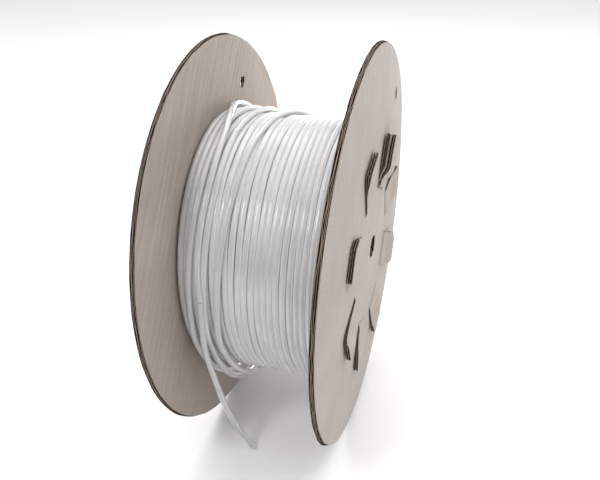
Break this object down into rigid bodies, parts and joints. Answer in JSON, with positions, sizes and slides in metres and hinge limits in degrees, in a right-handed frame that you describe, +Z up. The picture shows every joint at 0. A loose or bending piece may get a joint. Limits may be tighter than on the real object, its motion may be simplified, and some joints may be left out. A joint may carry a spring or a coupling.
{
  "type": "reel of plastic line",
  "caption": "Knock-down corrugated-board reel: two round flanges on an octagonal core whose end tabs fold out flat over the flanges, wound with clear tube that ends in a loose hanging end.",
  "frame": {"origin": "on the floor, below the middle of the reel's axis", "axes": "+X along the reel's axis towards the right flange, +Z up; the reel stands on both rims and the loose end hangs on the -Y side"},
  "size_m": [0.1858, 0.4, 0.4],
  "materials": {
    "board": "matte",
    "board_core": "matte",
    "clear_tube": "gloss"
  },
  "bodies": {
    "core": {"core_tube": "board_core", "core_glue_flap": "board_core", "flange_left": "board", "flange_right": "board", "line_pack": "clear_tube", "loose_turn_1": "clear_tube", "loose_turn_2": "clear_tube", "loose_turn_3": "clear_tube", "line_tail": "clear_tube"},
    "fold_tab_left_1": {"fold_tab_left_1": "board_core"},
    "fold_tab_left_2": {"fold_tab_left_2": "board_core"},
    "seam_tab_left": {"seam_tab_left": "board_core"},
    "fold_tab_left_3": {"fold_tab_left_3": "board_core"},
    "fold_tab_left_4": {"fold_tab_left_4": "board_core"},
    "fold_tab_left_5": {"fold_tab_left_5": "board_core"},
    "fold_tab_left_6": {"fold_tab_left_6": "board_core"},
    "fold_tab_left_7": {"fold_tab_left_7": "board_core"},
    "fold_tab_left_8": {"fold_tab_left_8": "board_core"},
    "fold_tab_right_1": {"fold_tab_right_1": "board_core"},
    "fold_tab_right_2": {"fold_tab_right_2": "board_core"},
    "seam_tab_right": {"seam_tab_right": "board_core"},
    "fold_tab_right_3": {"fold_tab_right_3": "board_core"},
    "fold_tab_right_4": {"fold_tab_right_4": "board_core"},
    "fold_tab_right_5": {"fold_tab_right_5": "board_core"},
    "fold_tab_right_6": {"fold_tab_right_6": "board_core"},
    "fold_tab_right_7": {"fold_tab_right_7": "board_core"},
    "fold_tab_right_8": {"fold_tab_right_8": "board_core"}
  },
  "joints": [
    {"name": "fold_left_1", "type": "hinge", "parent": "core", "child": "fold_tab_left_1", "pos_m": [-0.07979, 0.06601, 0.22195], "axis": [-0.0219, -0.3583, 0.9334], "range_deg": [-2, 88]},
    {"name": "fold_left_2", "type": "hinge", "parent": "core", "child": "fold_tab_left_2", "pos_m": [-0.08088, 0.02624, 0.26386], "axis": [-0.0129, -0.9135, 0.4066], "range_deg": [-3, 87]},
    {"name": "fold_left_seam", "type": "hinge", "parent": "core", "child": "seam_tab_left", "pos_m": [-0.08539, 0.02438, 0.25956], "axis": [-0.0129, -0.9135, 0.4066], "range_deg": [-3, 87]},
    {"name": "fold_left_3", "type": "hinge", "parent": "core", "child": "fold_tab_left_3", "pos_m": [-0.08117, -0.03153, 0.26537], "axis": [0.0037, -0.9336, -0.3583], "range_deg": [-1.5, 88.5]},
    {"name": "fold_left_4", "type": "hinge", "parent": "core", "child": "fold_tab_left_4", "pos_m": [-0.08048, -0.07345, 0.2256], "axis": [0.0181, -0.4068, -0.9133], "range_deg": [-1, 89]},
    {"name": "fold_left_5", "type": "hinge", "parent": "core", "child": "fold_tab_left_5", "pos_m": [-0.07923, -0.07497, 0.16785], "axis": [0.0219, 0.3583, -0.9334], "range_deg": [-2, 88]},
    {"name": "fold_left_6", "type": "hinge", "parent": "core", "child": "fold_tab_left_6", "pos_m": [-0.07814, -0.03519, 0.12595], "axis": [0.0129, 0.9135, -0.4066], "range_deg": [-1.5, 88.5]},
    {"name": "fold_left_7", "type": "hinge", "parent": "core", "child": "fold_tab_left_7", "pos_m": [-0.07785, 0.02257, 0.12443], "axis": [-0.0037, 0.9336, 0.3583], "range_deg": [-1.5, 88.5]},
    {"name": "fold_left_8", "type": "hinge", "parent": "core", "child": "fold_tab_left_8", "pos_m": [-0.07854, 0.06449, 0.1642], "axis": [-0.0181, 0.4068, 0.9133], "range_deg": [-2.5, 87.5]},
    {"name": "fold_right_1", "type": "hinge", "parent": "core", "child": "fold_tab_right_1", "pos_m": [0.08183, 0.0658, 0.22205], "axis": [0.0096, 0.3582, -0.9336], "range_deg": [-2.5, 87.5]},
    {"name": "fold_right_2", "type": "hinge", "parent": "core", "child": "fold_tab_right_2", "pos_m": [0.08062, 0.02604, 0.26396], "axis": [0.0292, 0.9131, -0.4067], "range_deg": [-2.5, 87.5]},
    {"name": "fold_right_seam", "type": "hinge", "parent": "core", "child": "seam_tab_right", "pos_m": [0.08514, 0.02402, 0.25975], "axis": [0.0292, 0.9131, -0.4067], "range_deg": [-2.5, 87.5]},
    {"name": "fold_right_3", "type": "hinge", "parent": "core", "child": "fold_tab_right_3", "pos_m": [0.07871, -0.0317, 0.26547], "axis": [0.0317, 0.933, 0.3584], "range_deg": [-1.5, 88.5]},
    {"name": "fold_right_4", "type": "hinge", "parent": "core", "child": "fold_tab_right_4", "pos_m": [0.07724, -0.07359, 0.2257], "axis": [0.0156, 0.4064, 0.9135], "range_deg": [-1, 89]},
    {"name": "fold_right_5", "type": "hinge", "parent": "core", "child": "fold_tab_right_5", "pos_m": [0.07705, -0.07509, 0.16793], "axis": [-0.0096, -0.3582, 0.9336], "range_deg": [-1.5, 88.5]},
    {"name": "fold_right_6", "type": "hinge", "parent": "core", "child": "fold_tab_right_6", "pos_m": [0.07826, -0.03533, 0.12602], "axis": [-0.0292, -0.9131, 0.4067], "range_deg": [-1, 89]},
    {"name": "fold_right_7", "type": "hinge", "parent": "core", "child": "fold_tab_right_7", "pos_m": [0.08016, 0.0224, 0.1245], "axis": [-0.0317, -0.933, -0.3584], "range_deg": [-2, 88]},
    {"name": "fold_right_8", "type": "hinge", "parent": "core", "child": "fold_tab_right_8", "pos_m": [0.08164, 0.06429, 0.16428], "axis": [-0.0156, -0.4064, -0.9135], "range_deg": [-4, 86]}
  ],
  "couplings": [
    {"joint": "fold_left_seam", "follows": "fold_left_2", "ratio": 1},
    {"joint": "fold_right_seam", "follows": "fold_right_2", "ratio": 1}
  ]
}
